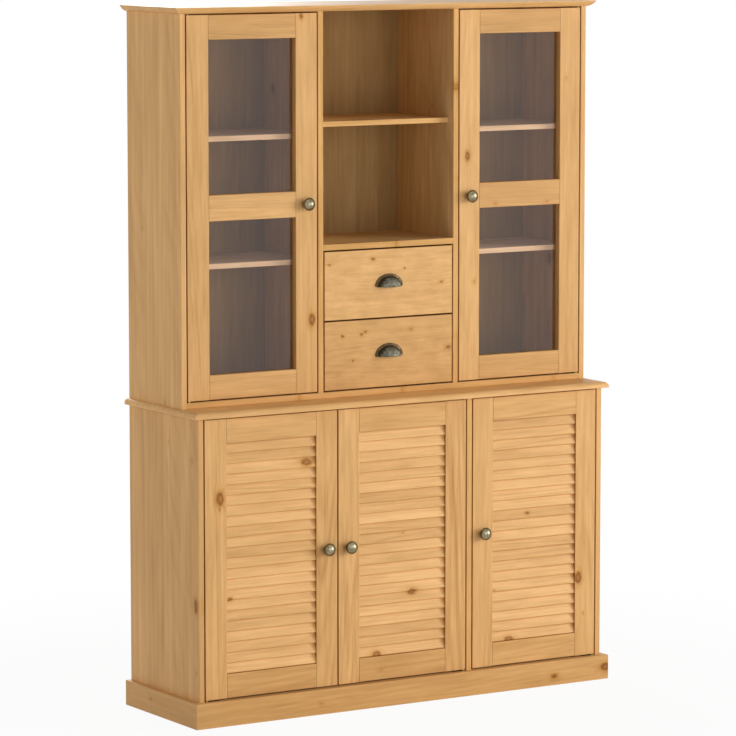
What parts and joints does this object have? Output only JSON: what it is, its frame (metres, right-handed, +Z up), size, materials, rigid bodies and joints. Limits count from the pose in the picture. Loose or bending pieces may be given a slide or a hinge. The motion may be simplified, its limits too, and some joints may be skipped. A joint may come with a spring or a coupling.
{
  "type": "buffet cabinet",
  "caption": "Lacquered pine buffet cabinet with louvred doors in the base and a set-back hutch of glazed doors, open bay and drawers.",
  "frame": {"origin": "on the floor, in the middle of the width and of the depth from the knobs to the back", "axes": "+Z up, the doors and drawers face -Y, and +X is to the right for someone who faces them"},
  "size_m": [1.3114, 0.397, 1.8704],
  "materials": {
    "lacquered_pine": "honey-coloured satin lacquer over knotty pine",
    "raw_pine": "planed, not lacquered",
    "back_board": "thin veneered board",
    "thin_board": "thin plywood",
    "glass": "clear",
    "pewter": "antique pewter, dark in the hollows",
    "bronze": "dark antique bronze",
    "steel": "zinc plated",
    "catch_plastic": "moulded"
  },
  "bodies": {
    "carcass": {"base_back": "back_board", "base_divider": "lacquered_pine", "base_floor": "lacquered_pine", "base_left_shelf": "lacquered_pine", "base_left_side": "lacquered_pine", "base_right_shelf": "lacquered_pine", "base_right_side": "lacquered_pine", "base_top": "lacquered_pine", "carcass_hinge_leaves": "steel", "centre_shelf": "lacquered_pine", "drawer_deck": "lacquered_pine", "drawer_runners": "raw_pine", "glazed_shelves": "lacquered_pine", "hutch_back": "back_board", "hutch_floor": "lacquered_pine", "hutch_left_divider": "lacquered_pine", "hutch_left_side": "lacquered_pine", "hutch_right_divider": "lacquered_pine", "hutch_right_side": "lacquered_pine", "hutch_top": "lacquered_pine", "magnetic_catches": "catch_plastic", "plinth_front": "lacquered_pine", "plinth_left": "lacquered_pine", "plinth_right": "lacquered_pine", "shelf_pins": "steel"},
    "left_louvre_door": {"left_louvre_door_hinge_leaves": "steel", "left_louvre_door_knob": "pewter", "left_louvre_door_rails": "lacquered_pine", "left_louvre_door_slats": "lacquered_pine", "left_louvre_door_stiles": "lacquered_pine"},
    "middle_louvre_door": {"middle_louvre_door_hinge_leaves": "steel", "middle_louvre_door_knob": "pewter", "middle_louvre_door_rails": "lacquered_pine", "middle_louvre_door_slats": "lacquered_pine", "middle_louvre_door_stiles": "lacquered_pine"},
    "right_louvre_door": {"right_louvre_door_hinge_leaves": "steel", "right_louvre_door_knob": "pewter", "right_louvre_door_rails": "lacquered_pine", "right_louvre_door_slats": "lacquered_pine", "right_louvre_door_stiles": "lacquered_pine"},
    "left_glass_door": {"left_glass_door_glazing_beads": "lacquered_pine", "left_glass_door_hinge_leaves": "steel", "left_glass_door_knob": "pewter", "left_glass_door_panes": "glass", "left_glass_door_rails": "lacquered_pine", "left_glass_door_stiles": "lacquered_pine"},
    "right_glass_door": {"right_glass_door_glazing_beads": "lacquered_pine", "right_glass_door_hinge_leaves": "steel", "right_glass_door_knob": "pewter", "right_glass_door_panes": "glass", "right_glass_door_rails": "lacquered_pine", "right_glass_door_stiles": "lacquered_pine"},
    "lower_drawer": {"lower_drawer_bottom": "thin_board", "lower_drawer_box": "raw_pine", "lower_drawer_front": "lacquered_pine", "lower_drawer_pull": "bronze"},
    "upper_drawer": {"upper_drawer_bottom": "thin_board", "upper_drawer_box": "raw_pine", "upper_drawer_front": "lacquered_pine", "upper_drawer_pull": "bronze"}
  },
  "joints": [
    {"name": "left_louvre_door_hinge", "type": "hinge", "parent": "carcass", "child": "left_louvre_door", "pos_m": [-0.61125, -0.1685, 0.4397], "axis": [0, 0, -1], "range_deg": [0, 100]},
    {"name": "middle_louvre_door_hinge", "type": "hinge", "parent": "carcass", "child": "middle_louvre_door", "pos_m": [0.18625, -0.1685, 0.4397], "axis": [0, 0, 1], "range_deg": [0, 100]},
    {"name": "right_louvre_door_hinge", "type": "hinge", "parent": "carcass", "child": "right_louvre_door", "pos_m": [0.61125, -0.1685, 0.4397], "axis": [0, 0, 1], "range_deg": [0, 100]},
    {"name": "left_glass_door_hinge", "type": "hinge", "parent": "carcass", "child": "left_glass_door", "pos_m": [-0.61125, -0.0825, 1.3494], "axis": [0, 0, -1], "range_deg": [0, 100]},
    {"name": "right_glass_door_hinge", "type": "hinge", "parent": "carcass", "child": "right_glass_door", "pos_m": [0.61125, -0.0825, 1.3494], "axis": [0, 0, 1], "range_deg": [0, 100]},
    {"name": "lower_drawer_slide", "type": "slide", "parent": "carcass", "child": "lower_drawer", "axis": [0, -1, 0], "range_m": [0, 0.19]},
    {"name": "upper_drawer_slide", "type": "slide", "parent": "carcass", "child": "upper_drawer", "axis": [0, -1, 0], "range_m": [0, 0.19]}
  ]
}
